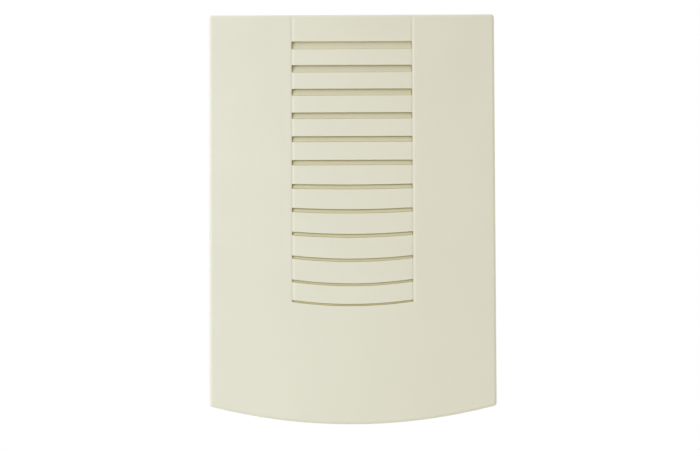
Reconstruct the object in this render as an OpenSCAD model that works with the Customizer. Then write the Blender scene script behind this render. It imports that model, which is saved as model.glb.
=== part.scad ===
// Two-tone doorbell chime box: a moulded cover with a graded louvre grille over a solenoid
// whose plunger strikes one tone plate when it is pulled in and the other when it springs back.
// Wall plane at y = 0, front towards -Y, +Z up, origin at the middle of the wall screws.

/* [Cover] */
// Width of the cover
cover_w = 133; // [128:1:160]
// Height of the cover from the top edge to the lowest point of the bowed edge
cover_h = 190; // [186:1:220]
// How far the bowed lower edge drops below its corners
arc_sag = 8.6; // [4:0.1:12]
// Depth of the box from the wall to the front face
box_depth = 46; // [44:0.5:60]
// Thickness of the side walls
cover_wall = 2.2; // [1.6:0.1:3]
// Thickness of the front wall
front_wall = 2; // [1.6:0.1:3]
// Radius of the outline's corners
corner_r = 2; // [1.6:0.1:5]
// Radius that rounds the front edge
edge_r = 1.4; // [0.6:0.1:2]
// How much each side leans in from the rim to the front
draft = 0.5; // [0:0.1:1]
// Gap between the wall and the cover's rim
rim_gap = 0.8; // [0.4:0.1:2]

/* [Grille] */
// Distance between the two upright grooves
grille_w = 55.6; // [44:0.2:66]
// Number of slots
slot_count = 12; // [8:1:12]
// Number of straight slots above the bowed ones
straight_slots = 6; // [2:1:8]
// Distance from the top edge to the first slot
first_slot = 12.9; // [9:0.1:14]
// Distance from one slot to the next
slot_pitch = 11; // [10:0.05:12]
// Distance to the last slot
last_pitch = 9.45; // [8:0.05:12]
// Height of the first slot
slot_h_first = 3.6; // [3.3:0.05:4.5]
// How much lower each slot is than the slot above
slot_step = 0.245; // [0:0.005:0.28]
// How much deeper each bowed slot bows than the slot above
sag_step = 0.4; // [0.1:0.01:0.6]
// Width of the upright grooves
groove_w = 1.6; // [0.8:0.1:2]
// Depth of the upright grooves
groove_d = 0.3; // [0.3:0.05:0.8]
// Thickness of the slats and of the wall round them
slat_t = 1.2; // [1:0.1:1.6]

/* [Louvre screen] */
// Gap for the sound between the slats and the screen's strips
screen_gap = 0.6; // [0.3:0.1:1]
// Thickness of the strips
screen_t = 1; // [0.8:0.1:2]
// How far each strip reaches behind the slats
screen_lap = 1; // [0.6:0.1:1.6]
// How far the louvres, which stand on the strips in the slots, end short of the slots' ends
louvre_end = 0.25; // [0.15:0.05:1]
// Gap between a louvre and the slats above and below
louvre_play = 0.15; // [0.1:0.05:0.3]
// How far a louvre's lower edge lies behind the face
louvre_sink = 0.75; // [0.5:0.05:1]
// How far a louvre leans back for its height
louvre_lean = 0.3; // [0.1:0.02:0.4]
// Width of the screen's two rails
rail_w = 6; // [5:0.5:8]
// Diameter of the cover's staked pegs
peg_d = 2.4; // [2:0.1:3]

/* [Base plate] */
// Thickness of the base plate
plate_t = 2.5; // [2:0.1:3.5]
// Height of the rim above the wall
rim_h = 12; // [8:0.5:14]
// Thickness of the rim
rim_t = 1.8; // [1.4:0.1:2.5]
// Gap between the cover and the rim
fit_gap = 0.5; // [0.4:0.05:0.8]
// Gap left by the grip ribs that hold the cover
grip_gap = 0.15; // [0.1:0.05:0.3]
// Diameter of the wall screws' slots
wall_hole_d = 4.5; // [4:0.1:5.5]
// Length of the wall screws' slots, end to end
wall_slot_l = 9; // [7:0.5:12]
// Distance between the wall screws across
wall_pitch_x = 60; // [56:1:62]
// Distance between the wall screws up and down
wall_pitch_z = 128; // [120:1:134]
// Diameter of the cable entry
cable_d = 14; // [10:0.5:16]

/* [Solenoid] */
// Distance of the plunger's axis from the wall
axis_front = 22; // [21:0.5:23]
// Height of the plunger's axis above the origin
axis_up = 4; // [0:0.5:6]
// Length of the bobbin over its flanges
bobbin_l = 36; // [30:1:40]
// Diameter of the bobbin's flanges
flange_d = 28.6; // [27:0.2:29]
// Thickness of the bobbin's flanges
flange_t = 2; // [1.4:0.1:2.6]
// Wall of the bobbin's barrel
barrel_wall = 1.2; // [0.8:0.1:2]
// Diameter of the winding
winding_d = 25; // [20:0.2:26]
// Thickness of the tape over the winding
tape_t = 0.4; // [0.2:0.1:0.6]
// Thickness of the yoke's steel
yoke_t = 1.5; // [1:0.1:2]
// Width of the yoke
yoke_w = 24; // [18:0.5:26]
// Wall of the guide tube
tube_wall = 0.5; // [0.4:0.1:1]
// How far the guide tube stands out of the yoke
tube_out = 1.5; // [0.5:0.1:2.5]

/* [Plunger] */
// Diameter of the steel core
core_d = 8.5; // [7:0.1:9]
// Length of the steel core
core_l = 40; // [36:1:44]
// Travel of the plunger from rest to the high plate
pull_travel = 10; // [8:0.5:11]
// Travel of the plunger from rest to the low plate
rebound_travel = 3; // [2:0.5:4]
// Gap left between a tip and its plate at full travel
strike_gap = 0.3; // [0.2:0.05:0.5]
// Diameter of the nylon tips
tip_d = 7.6; // [6:0.1:8]
// Diameter of the collar that the spring pushes on
collar_d = 14; // [13:0.2:16]
// Thickness of the collar
collar_t = 2; // [1.4:0.1:3]
// How far the left tip stands out of its collar
tip_reach = 5.85; // [5:0.05:8]
// Outside diameter of the spring
spring_d = 13; // [12.6:0.1:13.4]
// Diameter of the spring's wire
spring_wire = 0.7; // [0.6:0.05:0.9]
// Number of turns in the spring
spring_turns = 6; // [5:1:8]

/* [Tone plates] */
// Gap between the plates' screw heads and the side walls
plate_clear = 5.75; // [3:0.25:8]
// Thickness of the plates
tone_t = 2.5; // [2:0.1:3]
// Width of the plates, front to back
tone_w = 30; // [24:0.5:30]
// Length of the low plate
low_l = 152; // [140:1:158]
// Length of the high plate
high_l = 135; // [120:1:140]
// Share of a plate's length from its end to its still line
still_share = 0.224; // [0.2:0.002:0.24]
// Diameter of the grommets' flanges
grommet_d = 11; // [10:0.5:12]
// Thickness of the grommets' flanges
grommet_t = 1.8; // [1.2:0.1:2.2]
// Diameter of the plates' holes
plate_hole_d = 7.2; // [6:0.1:8]
// Thickness of the washers
washer_t = 0.8; // [0.5:0.1:1.2]

/* [Terminals] */
// Width of the terminal block
block_w = 26; // [24:0.5:30]
// Height of the terminal block, up and down
block_h = 16; // [14:0.5:18]
// Depth of the terminal block, front to back
block_t = 13; // [12.6:0.2:15]
// Height of the block's upper edge above the origin
block_top = -44; // [-46:0.5:-42]
// Distance of the block's seat from the wall
block_seat = 7; // [6:0.5:8]
// Distance between the two terminals
pole_pitch = 14; // [14:0.5:16]
// Diameter of the wire entries
wire_d = 3.2; // [2.4:0.1:3.4]
// Diameter of the coil leads
lead_d = 1.8; // [1.4:0.1:2.2]

/* [Fasteners] */
// Diameter of the screws
screw_d = 3; // [2.6:0.1:3.2]
// Diameter of the screws' heads
screw_head_d = 6; // [5.4:0.1:6.4]
// Height of the screws' heads
screw_head_h = 2.2; // [1.6:0.1:2.4]
// Depth of thread in a boss or a post
screw_bite = 7; // [5:0.5:7.5]
// Gap around a screw in its hole
screw_gap = 0.05; // [0.02:0.01:0.1]

/* [Hidden] */
$fn = 48;
cream = [0.87, 0.86, 0.78];
ivory = [0.85, 0.83, 0.76];
steel = [0.72, 0.73, 0.75];
zinc = [0.62, 0.63, 0.64];
brass = [0.80, 0.66, 0.36];
copper = [0.70, 0.38, 0.20];
nylon = [0.93, 0.92, 0.88];
rubber = [0.12, 0.12, 0.13];
tape_yellow = [0.86, 0.74, 0.38];
block_grey = [0.80, 0.80, 0.78];
lead_red = [0.62, 0.12, 0.10];
lead_black = [0.10, 0.10, 0.11];

// Cuts pass their faces by this much and joined forms sink in by as much
over = 1;
// Play between parts that are slipped together
slip = 0.1;
corner_steps = 6;
bow_steps = 12;
arc_steps = 28;
edge_steps = 5;

// Bowed lower edge
arc_r = (pow(cover_w / 2, 2) + pow(arc_sag, 2)) / (2 * arc_sag);
arc_centre = arc_r - cover_h / 2;

// Levels of the cover and the louvre screen, counted from the wall
front_back = box_depth - front_wall;
slat_back = box_depth - slat_t;
strip_face = slat_back - screen_gap;
screen_back = strip_face - screen_t;
inner_edge_r = max(edge_r - cover_wall / 2, 0.4);
slot_half = grille_w / 2;
rail_in = slot_half + slip;
rail_mid = rail_in + rail_w / 2;
peg_head_d = peg_d + 1.4;
peg_head_t = 0.8;

// Base plate
base_inset = cover_wall + fit_gap;
stop_gap = 0.2;
stop_h = 14;
stop_t = 2;
stop_drop = 35;
stop_up = cover_h / 2 - stop_drop;
grip_l = 10;
grip_up = cover_h / 4;
pad_t = 1;
pad_rim = 2.5;
cable_up = block_top - block_h - cable_d / 2 - 9;
collar_rim = 2;
rib_t = 1.6;
rib_h = 3;
pilot_d = screw_d + 2 * screw_gap;

// Solenoid
tube_id_r = core_d / 2 + 0.25;
tube_r = tube_id_r + tube_wall;
bore_r = tube_r + slip;
barrel_r = bore_r + barrel_wall;
yoke_in = bobbin_l / 2 + slip;
yoke_out = yoke_in + yoke_t;
leg_gap = 0.5;
leg_front = axis_front - flange_d / 2 - leg_gap;
leg_back = leg_front - yoke_t;
bend_r = 1;
cheek_front = axis_front + yoke_w / 2;
cheek_chamfer = 4;
ear_w = 12;
ear_pitch = flange_d / 2 + screw_head_d / 2 + 1.2;
ledge_d = 4;
ledge_h = 4;
ledge_w = 8;
pin_d = 1;
pin_out = 5;
pin_x = bobbin_l / 2 - ledge_d / 2;
pin_tip = axis_up - flange_d / 2 - ledge_h - pin_out;

// Plunger at rest
core_mid = -pull_travel;
core_left = core_mid - core_l / 2;
core_right = core_mid + core_l / 2;
plate_face = cover_w / 2 - cover_wall - plate_clear - screw_head_h - washer_t - grommet_t - tone_t;
tip_right = plate_face - strike_gap - pull_travel;
tip_left = -(plate_face - strike_gap - rebound_travel);
collar_face = tip_left + tip_reach + collar_t;
spring_l = -collar_face - yoke_out;
spigot_d = 4;
spigot_l = 7;
spring_r = (spring_d - spring_wire) / 2;
spring_seat = 0.05;

// Tone plates
hanger_head_x = plate_face + tone_t + grommet_t + washer_t;
post_face = plate_face - grommet_t;
post_t = screw_bite + 2;
post_w = 10;
post_front = axis_front + post_w / 2;
gusset_l = 9;

// Terminals
block_mid = block_top - block_h / 2;
clamp_w = 6.2;
clamp_t = 6.7;
clamp_inset = 1;
clamp_mid = block_seat + 2 + slip + clamp_t / 2;
tail_l = 5;
tail_w = 3;
tail_t = 0.8;
tail_tip = block_top + tail_l - clamp_inset;
terminal_screw_d = 2.9;
terminal_head_d = 4.6;
terminal_head_h = 2;
block_head_seat = block_seat + block_t - 6;
platform_edge = 0.5;
wire_floor = clamp_mid + wire_d / 2 + 0.15;

// Stands the bench drawing up: bench y is up, bench z is the distance out from the wall
module on_wall() {
    rotate([90, 0, 0]) children();
}

// Points of an arc about a centre
function arc(x, y, r, from, to, steps) = [
    for (i = [0 : steps])
        let (a = from + (to - from) * i / steps)
        [x + r * cos(a), y + r * sin(a)]
];

// The box's outline, moved in by a distance: round corners, straight sides, bowed lower edge
function outline(inset) =
    let (
        half = cover_w / 2 - inset,
        top = cover_h / 2 - inset,
        r = max(corner_r - inset, 0.4),
        bow = arc_r - inset,
        low = arc_centre - sqrt(pow(bow - r, 2) - pow(half - r, 2)),
        lean = atan2(low - arc_centre, half - r),
        sweep = arc(0, arc_centre, bow, 180 - lean, 360 + lean, arc_steps)
    )
    concat(
        arc(half - r, top - r, r, 0, 90, corner_steps),
        arc(r - half, top - r, r, 90, 180, corner_steps),
        arc(r - half, low, r, 180, 180 - lean, corner_steps),
        [for (i = [1 : arc_steps - 1]) sweep[i]],
        arc(half - r, low, r, 360 + lean, 360, corner_steps)
    );

// Puts an outline at a level
function lifted(points, level) = [for (p = points) [p[0], p[1], level]];

// A closed solid through rings of equally many points
module loft(rings) {
    n = len(rings[0]);
    last = (len(rings) - 1) * n;
    points = [for (ring = rings) each ring];
    sides = [
        for (k = [0 : len(rings) - 2], i = [0 : n - 1])
            let (a = k * n + i, b = k * n + (i + 1) % n)
            each [[a, a + n, b + n], [a, b + n, b]]
    ];
    start = [for (i = [0 : n - 1]) i];
    end = [for (i = [n - 1 : -1 : 0]) last + i];
    polyhedron(points, concat([start], sides, [end]));
}

function unit(v) = v / norm(v);

// A ring of points square to a direction
function ring(p, along, across, r, sides) =
    let (
        t = unit(along),
        u = unit(across - (across * t) * t),
        v = cross(t, u)
    )
    [for (k = [0 : sides - 1]) p + r * (cos(360 * k / sides) * u + sin(360 * k / sides) * v)];

// A round bar about the plunger's axis
module axis_bar(from, to, r) {
    translate([from, axis_up, axis_front]) rotate([0, 90, 0]) cylinder(h = to - from, r = r);
}

// A screw whose head's underside is at the origin and whose shank points down
module pan_screw(shank, length, head, height) {
    slot_w = head * 0.16;
    difference() {
        union() {
            translate([0, 0, -length]) cylinder(h = length + height / 2, d = shank);
            rotate_extrude() pan_profile(head / 2, height);
        }
        translate([-head, -slot_w / 2, height * 0.5]) cube([2 * head, slot_w, height]);
    }
}

module pan_profile(r, height) {
    crown = height * 0.45;
    intersection() {
        square([r, height]);
        translate([0, height - r * r / crown / 2 - crown / 2]) circle(r * r / crown / 2 + crown / 2);
    }
}

// Grille

function slot_top(i) =
    cover_h / 2 - first_slot - slot_pitch * min(i, slot_count - 2)
    - (i == slot_count - 1 ? last_pitch : 0);

function slot_h(i) = slot_h_first - slot_step * i;

function slot_sag(i) = sag_step * max(0, min(i, slot_count - 2) - straight_slots + 1);

// A band between two like edges, which bow down by sag between the slots' ends
function bowed_band(half, top, bottom, sag) =
    let (n = sag > 0 ? bow_steps : 1)
    let (across = [for (k = [0 : n]) half * (2 * k / n - 1)])
    let (drop = [for (x = across) sag * (1 - pow(x / slot_half, 2))])
    concat(
        [for (k = [0 : n]) [across[k], bottom - drop[k]]],
        [for (k = [n : -1 : 0]) [across[k], top - drop[k]]]
    );

grille_end = slot_top(slot_count - 1) - slot_h(slot_count - 1);

module slots() {
    for (i = [0 : slot_count - 1])
        translate([0, 0, front_back - over])
            linear_extrude(front_wall + 2 * over)
                polygon(bowed_band(slot_half, slot_top(i), slot_top(i) - slot_h(i), slot_sag(i)));
}

module upright_groove() {
    length = cover_h / 2 + over - grille_end;
    half = groove_w / 2;
    flat = groove_w / 6;
    translate([0, cover_h / 2 + over, box_depth])
        rotate([90, 0, 0])
            linear_extrude(length)
                polygon([
                    [-half, 0], [-flat, -groove_d], [flat, -groove_d],
                    [half, 0], [half, over], [-half, over]
                ]);
}

// The thin place in the front wall that holds the louvre screen
module screen_pocket() {
    half = rail_in + rail_w + slip;
    top = slot_top(0) + screen_lap + slip;
    bottom = grille_end - slot_sag(slot_count - 1) - screen_lap - slip;
    translate([-half, bottom, front_back - over])
        cube([2 * half, top - bottom, slat_back - front_back + over]);
}

// Heights of the pegs that hold the louvre screen
function peg_up(k) =
    let (high = slot_top(0) - slot_h(0), low = grille_end)
    high + (low - high) * k / 2;

module peg_pair(k, d, from, to) {
    for (side = [-1, 1])
        translate([side * rail_mid, peg_up(k), from]) cylinder(h = to - from, d = d);
}

// Cover

module cover_skin() {
    loft(concat(
        [lifted(outline(0), rim_gap)],
        [for (k = [0 : edge_steps])
            let (a = 90 * k / edge_steps)
            lifted(outline(draft + edge_r * (1 - cos(a))), box_depth - edge_r * (1 - sin(a)))]
    ));
}

module cover_hollow() {
    loft(concat(
        [lifted(outline(cover_wall), rim_gap - over)],
        [lifted(outline(cover_wall), rim_gap)],
        [for (k = [0 : edge_steps])
            let (a = 90 * k / edge_steps)
            lifted(
                outline(cover_wall + draft + inner_edge_r * (1 - cos(a))),
                front_back - inner_edge_r * (1 - sin(a))
            )]
    ));
}

// A gusset on the side wall that stops on the base plate's rim
module cover_stop() {
    wall_x = cover_w / 2 - cover_wall / 2;
    reach = cover_wall / 2 + fit_gap + rim_t;
    foot = rim_h + stop_gap;
    translate([wall_x, stop_t / 2, 0])
        rotate([90, 0, 0])
            linear_extrude(stop_t)
                polygon([[0, foot], [-reach, foot], [-reach, foot + stop_h / 2], [0, foot + stop_h]]);
}

module front_cover() {
    color(cream) on_wall() {
        difference() {
            cover_skin();
            cover_hollow();
            screen_pocket();
            slots();
            for (side = [-1, 1]) translate([side * slot_half, 0, 0]) upright_groove();
        }
        for (k = [0 : 2]) {
            peg_pair(k, peg_d, screen_back - over / 2, slat_back + over / 2);
            peg_pair(k, peg_head_d, screen_back - peg_head_t, screen_back);
        }
        for (side = [0, 1], up = [-1, 1])
            mirror([side, 0, 0]) translate([0, up * stop_up, 0]) cover_stop();
    }
}

module screen_strip(i) {
    translate([0, 0, screen_back])
        linear_extrude(screen_t)
            polygon(bowed_band(
                rail_in + over,
                slot_top(i) + screen_lap,
                slot_top(i) - slot_h(i) - screen_lap,
                slot_sag(i)
            ));
}

// A louvre stands in its slot with a gap all round and leans back towards its upper edge
module louvre(i) {
    half = slot_half - louvre_end;
    play = min(louvre_play, slot_h(i) / 4);
    top = slot_top(i) - play;
    bottom = slot_top(i) - slot_h(i) + play;
    foot = strip_face - screen_t / 2;
    low_edge = box_depth - louvre_sink;
    high_edge = low_edge - louvre_lean * (top - bottom);
    steps = slot_sag(i) > 0 ? bow_steps : 1;
    loft([
        for (k = [0 : steps])
            let (x = half * (2 * k / steps - 1), drop = slot_sag(i) * (1 - pow(x / slot_half, 2)))
            [
                [x, bottom - drop, foot], [x, top - drop, foot],
                [x, top - drop, high_edge], [x, bottom - drop, low_edge]
            ]
    ]);
}

module louvre_screen() {
    rail_top = slot_top(0) + screen_lap;
    rail_l = rail_top - grille_end + screen_lap;
    color(cream) on_wall() difference() {
        union() {
            for (side = [0, 1])
                mirror([side, 0, 0])
                    translate([rail_in, rail_top - rail_l, screen_back])
                        cube([rail_w, rail_l, slat_back - screen_back]);
            for (i = [0 : slot_count - 1]) {
                screen_strip(i);
                louvre(i);
            }
        }
        for (k = [0 : 2]) peg_pair(k, peg_d + 2 * slip, screen_back - over, slat_back + over);
    }
}

// Base plate

function hanger_up(length, end) = axis_up + end * length * (0.5 - still_share);

// Runs its children at the four hangers, as if each were on the right-hand side
module at_hangers() {
    for (end = [-1, 1]) {
        translate([0, hanger_up(high_l, end), 0]) children();
        mirror([1, 0, 0]) translate([0, hanger_up(low_l, end), 0]) children();
    }
}

module hanger_post() {
    translate([post_face - post_t, -post_w / 2, plate_t - over])
        cube([post_t, post_w, axis_front - plate_t + over]);
    translate([post_face - post_t, 0, axis_front])
        rotate([0, 90, 0])
            cylinder(h = post_t, d = post_w);
    translate([post_face - post_t + over, rib_t / 2, 0])
        rotate([90, 0, 0])
            linear_extrude(rib_t)
                polygon([
                    [0, plate_t - over], [-gusset_l, plate_t - over],
                    [-gusset_l, plate_t], [-over, axis_front - over], [0, axis_front - over]
                ]);
}

module hanger_pilot() {
    translate([post_face - screw_bite - slip, 0, axis_front])
        rotate([0, 90, 0])
            cylinder(h = screw_bite + over, d = pilot_d);
}

module slot_cut(d, length, from, to) {
    run = length - d;
    for (side = [-1, 1]) translate([side * run / 2, 0, from]) cylinder(h = to - from, d = d);
    translate([-run / 2, -d / 2, from]) cube([run, d, to - from]);
}

module at_wall_screws() {
    for (x = [-1, 1], up = [-1, 1])
        translate([x * wall_pitch_x / 2, up * wall_pitch_z / 2, 0]) children();
}

module grip_rib() {
    stand = rim_t / 2 + fit_gap - draft * rim_h / box_depth - grip_gap;
    translate([cover_w / 2 - base_inset - rim_t / 2, -grip_l / 2, plate_t])
        cube([stand, grip_l, rim_h - plate_t - over]);
}

module base_solid() {
    linear_extrude(plate_t) polygon(outline(base_inset));
    difference() {
        linear_extrude(rim_h) polygon(outline(base_inset));
        translate([0, 0, plate_t - over / 2])
            linear_extrude(rim_h) polygon(outline(base_inset + rim_t));
    }
    at_hangers() hanger_post();
    at_wall_screws() slot_cut(wall_hole_d + 2 * pad_rim, wall_slot_l + 2 * pad_rim, 0, plate_t + pad_t);
    for (up = [-1, 1])
        translate([0, axis_up + up * ear_pitch, plate_t - over])
            cylinder(h = leg_back - plate_t + over, d = ear_w);
    translate([-block_w / 2 - platform_edge, block_top - block_h - platform_edge, plate_t - over])
        cube([block_w + 2 * platform_edge, block_h + 2 * platform_edge, block_seat - plate_t + over]);
    translate([0, cable_up, 0]) cylinder(h = plate_t + collar_rim, d = cable_d + 2 * collar_rim);
    for (side = [0, 1], up = [-1, 1])
        mirror([side, 0, 0]) translate([0, up * grip_up, 0]) grip_rib();
    upper_ribs();
}

// Upright and cross ribs that stiffen the upper half of the plate
module upper_ribs() {
    rib_x = wall_pitch_x / 2 - wall_slot_l / 2 - pad_rim - rib_t;
    rib_low = axis_up + ear_pitch + ear_w / 2 + over;
    rib_high = cover_h / 2 - base_inset - rim_t / 2;
    cross_up = (rib_low + wall_pitch_z / 2 - wall_hole_d) / 2;
    for (x = [-rib_x, rib_x])
        translate([x - rib_t / 2, rib_low, plate_t - over])
            cube([rib_t, rib_high - rib_low, rib_h + over]);
    translate([-rib_x, cross_up, plate_t - over])
        cube([2 * rib_x, rib_t, rib_h + over]);
}

module base_plate() {
    color(ivory) on_wall() difference() {
        base_solid();
        at_hangers() hanger_pilot();
        at_wall_screws() slot_cut(wall_hole_d, wall_slot_l, -over, plate_t + pad_t + over);
        for (up = [-1, 1])
            translate([0, axis_up + up * ear_pitch, over])
                cylinder(h = leg_back, d = pilot_d);
        translate([0, block_mid, over]) cylinder(h = block_seat, d = pilot_d);
        translate([0, cable_up, -over]) cylinder(h = plate_t + collar_rim + 2 * over, d = cable_d);
    }
}

// Solenoid

module coil_bobbin() {
    color(nylon) on_wall() difference() {
        union() {
            axis_bar(-bobbin_l / 2, bobbin_l / 2, barrel_r);
            for (side = [0, 1])
                mirror([side, 0, 0]) {
                    axis_bar(bobbin_l / 2 - flange_t, bobbin_l / 2, flange_d / 2);
                    translate([
                        bobbin_l / 2 - ledge_d,
                        axis_up - flange_d / 2 - ledge_h,
                        axis_front - ledge_w / 2
                    ]) ledge();
                }
        }
        axis_bar(-bobbin_l, bobbin_l, bore_r);
        for (side = [-1, 1]) pin(side, pin_d + slip, pin_tip);
    }
}

// The flange's foot that carries a solder pin: full width below, only the flange above
module ledge() {
    cube([ledge_d, ledge_h - over, ledge_w]);
    translate([ledge_d - flange_t, 0, 0]) cube([flange_t, ledge_h + 2 * over, ledge_w]);
}

module pin(side, d, tip) {
    translate([side * pin_x, tip, axis_front])
        rotate([-90, 0, 0])
            cylinder(h = pin_out + ledge_h - over - slip, d = d);
}

module coil_pins() {
    color(zinc) on_wall() for (side = [-1, 1]) pin(side, pin_d, pin_tip);
}

module coil_winding() {
    half = bobbin_l / 2 - flange_t - slip;
    color(copper) on_wall() difference() {
        axis_bar(-half, half, winding_d / 2);
        axis_bar(-half - over, half + over, barrel_r + slip / 2);
    }
}

module coil_tape() {
    half = bobbin_l / 2 - flange_t - slip;
    color(tape_yellow) on_wall() difference() {
        axis_bar(-half, half, winding_d / 2 + slip / 2 + tape_t);
        axis_bar(-half - over, half + over, winding_d / 2 + slip / 2);
    }
}

// One cheek of the yoke and the bend at its foot, on the right-hand side
module yoke_cheek() {
    low = -yoke_w / 2;
    foot = leg_front + bend_r;
    translate([yoke_in, axis_up, 0])
        rotate([90, 0, 90])
            linear_extrude(yoke_t)
                polygon([
                    [low, foot], [-low, foot], [-low, cheek_front - cheek_chamfer],
                    [-low - cheek_chamfer, cheek_front], [low + cheek_chamfer, cheek_front],
                    [low, cheek_front - cheek_chamfer]
                ]);
    translate([yoke_in - bend_r, axis_up + yoke_w / 2, foot])
        rotate([90, 0, 0])
            rotate(-90)
                rotate_extrude(angle = 90) translate([bend_r, 0]) square([yoke_t, yoke_w]);
}

module solenoid_yoke() {
    color(zinc) on_wall() difference() {
        union() {
            for (side = [0, 1]) mirror([side, 0, 0]) yoke_cheek();
            translate([bend_r - yoke_in, axis_up - yoke_w / 2, leg_back])
                cube([2 * (yoke_in - bend_r), yoke_w, yoke_t]);
            translate([-ear_w / 2, axis_up - ear_pitch, leg_back]) cube([ear_w, 2 * ear_pitch, yoke_t]);
            for (up = [-1, 1])
                translate([0, axis_up + up * ear_pitch, leg_back]) cylinder(h = yoke_t, d = ear_w);
        }
        axis_bar(-yoke_out - over, yoke_out + over, tube_r + slip / 2);
        for (up = [-1, 1])
            translate([0, axis_up + up * ear_pitch, leg_back - over])
                cylinder(h = yoke_t + 2 * over, d = pilot_d + slip);
    }
}

module yoke_screws() {
    length = leg_front - over - slip;
    color(steel) on_wall() for (up = [-1, 1])
        translate([0, axis_up + up * ear_pitch, leg_front])
            pan_screw(screw_d, length, screw_head_d, screw_head_h);
}

module guide_tube() {
    end = yoke_out + tube_out;
    color(brass) on_wall() difference() {
        axis_bar(-end, end, tube_r);
        axis_bar(-end - over, end + over, tube_id_r);
    }
}

// Plunger

module plunger_core() {
    color(steel) on_wall() difference() {
        axis_bar(core_left, core_right, core_d / 2);
        axis_bar(core_left - over, core_left + spigot_l + slip, spigot_d / 2 + slip / 2);
        axis_bar(core_right - spigot_l - slip, core_right + over, spigot_d / 2 + slip / 2);
    }
}

// A nylon striker with a spigot into the core and a domed end, along +X from its seat
module striker(length) {
    dome = tip_d * 0.3;
    ball_r = (pow(tip_d / 2, 2) + pow(dome, 2)) / (2 * dome);
    translate([0, axis_up, axis_front]) rotate([0, 90, 0]) {
        translate([0, 0, -spigot_l]) cylinder(h = spigot_l + over, d = spigot_d);
        intersection() {
            cylinder(h = length, d = tip_d);
            translate([0, 0, length - ball_r]) sphere(ball_r);
            cylinder(h = length + over, d = tip_d + over);
        }
        cylinder(h = length - dome - over, d = tip_d);
    }
}

module striker_tip_right() {
    color(nylon) on_wall() translate([core_right, 0, 0]) striker(tip_right - core_right);
}

module striker_tip_left() {
    color(nylon) on_wall() {
        mirror([1, 0, 0]) translate([-core_left, 0, 0]) striker(core_left - tip_left);
        axis_bar(collar_face - collar_t, collar_face, collar_d / 2);
    }
}

// The return spring's wire, from the yoke's cheek to the collar
spring_steps = 8 * spring_turns;
spring_run = spring_l - spring_wire - 2 * spring_seat;
spring_pitch = spring_run / spring_turns;

function spring_angle(k) = 360 * spring_turns * k / spring_steps;

function spring_point(k) =
    let (a = spring_angle(k))
    [
        -yoke_out - spring_seat - spring_wire / 2 - spring_run * k / spring_steps,
        axis_up + spring_r * cos(a),
        axis_front + spring_r * sin(a)
    ];

function spring_ring(k) =
    let (a = spring_angle(k), out = [0, cos(a), sin(a)])
    ring(
        spring_point(k),
        [-spring_pitch / 360 * 180 / PI, -spring_r * sin(a), spring_r * cos(a)],
        out,
        spring_wire / 2,
        6
    );

spring_gap = min([
    for (i = [0 : spring_steps - 5], j = [i + 5 : spring_steps])
        norm(spring_point(i) - spring_point(j)) - spring_wire
]);
echo(least_gap_between_spring_turns = spring_gap);

module return_spring() {
    color(steel) on_wall() loft([for (k = [0 : spring_steps]) spring_ring(k)]);
}

// Tone plates

// A plate on the right-hand side with its two holes on the still lines
module tone_plate(length) {
    clip = 2;
    translate([plate_face, axis_up, axis_front])
        rotate([0, 90, 0])
            difference() {
                linear_extrude(tone_t)
                    polygon([
                        for (s = [[1, 1], [-1, 1], [-1, -1], [1, -1]])
                            let (
                                x = [tone_w / 2, tone_w / 2 - clip],
                                y = [length / 2 - clip, length / 2],
                                first = s[0] * s[1] > 0 ? 0 : 1
                            )
                            each [
                                [s[0] * x[first], s[1] * y[first]],
                                [s[0] * x[1 - first], s[1] * y[1 - first]]
                            ]
                    ]);
                for (end = [-1, 1])
                    translate([0, end * length * (0.5 - still_share), -over])
                        cylinder(h = tone_t + 2 * over, d = plate_hole_d);
            }
}

module tone_plate_high() {
    color(steel) on_wall() tone_plate(high_l);
}

module tone_plate_low() {
    color(steel) on_wall() mirror([1, 0, 0]) tone_plate(low_l);
}

// Stands a turned piece on a hanger: its own z runs outwards from the post's face
module on_hangers() {
    at_hangers() translate([post_face, 0, axis_front]) rotate([0, 90, 0]) children();
}

module plate_grommets() {
    length = 2 * grommet_t + tone_t;
    color(rubber) on_wall() on_hangers() difference() {
        union() {
            cylinder(h = grommet_t, d = grommet_d);
            cylinder(h = length, d = plate_hole_d - 2 * slip);
            translate([0, 0, grommet_t + tone_t]) cylinder(h = grommet_t, d = grommet_d);
        }
        translate([0, 0, -over]) cylinder(h = length + 2 * over, d = screw_d + 2 * slip);
    }
}

module plate_washers() {
    color(zinc) on_wall() on_hangers()
        translate([0, 0, 2 * grommet_t + tone_t])
            difference() {
                cylinder(h = washer_t, d = grommet_d - 2);
                translate([0, 0, -over]) cylinder(h = washer_t + 2 * over, d = screw_d + 2 * slip);
            }
}

module plate_screws() {
    head = hanger_head_x - post_face;
    color(steel) on_wall() on_hangers()
        translate([0, 0, head])
            pan_screw(screw_d, head + screw_bite, screw_head_d, screw_head_h);
}

// Terminals

module at_poles() {
    for (x = [-1, 1]) translate([x * pole_pitch / 2, 0, 0]) children();
}

module terminal_block() {
    pocket_w = clamp_w + 2 * slip;
    pocket_t = clamp_t + 2 * slip;
    head_well = clamp_mid + clamp_t / 2 + 1.4;
    color(block_grey) on_wall() difference() {
        translate([-block_w / 2, block_top - block_h, block_seat]) cube([block_w, block_h, block_t]);
        at_poles() {
            translate([-pocket_w / 2, block_top - block_h - over, clamp_mid - pocket_t / 2])
                cube([pocket_w, block_h + 2 * over, pocket_t]);
            translate([0, block_mid, clamp_mid]) cylinder(h = block_t, d = terminal_screw_d + 4 * slip);
            translate([0, block_mid, head_well]) cylinder(h = block_t, d = terminal_head_d + 8 * slip);
        }
        translate([0, block_mid, block_seat - over]) cylinder(h = block_t, d = pilot_d + slip);
        translate([0, block_mid, block_head_seat]) cylinder(h = block_t, d = screw_head_d + 2 * slip);
    }
}

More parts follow.
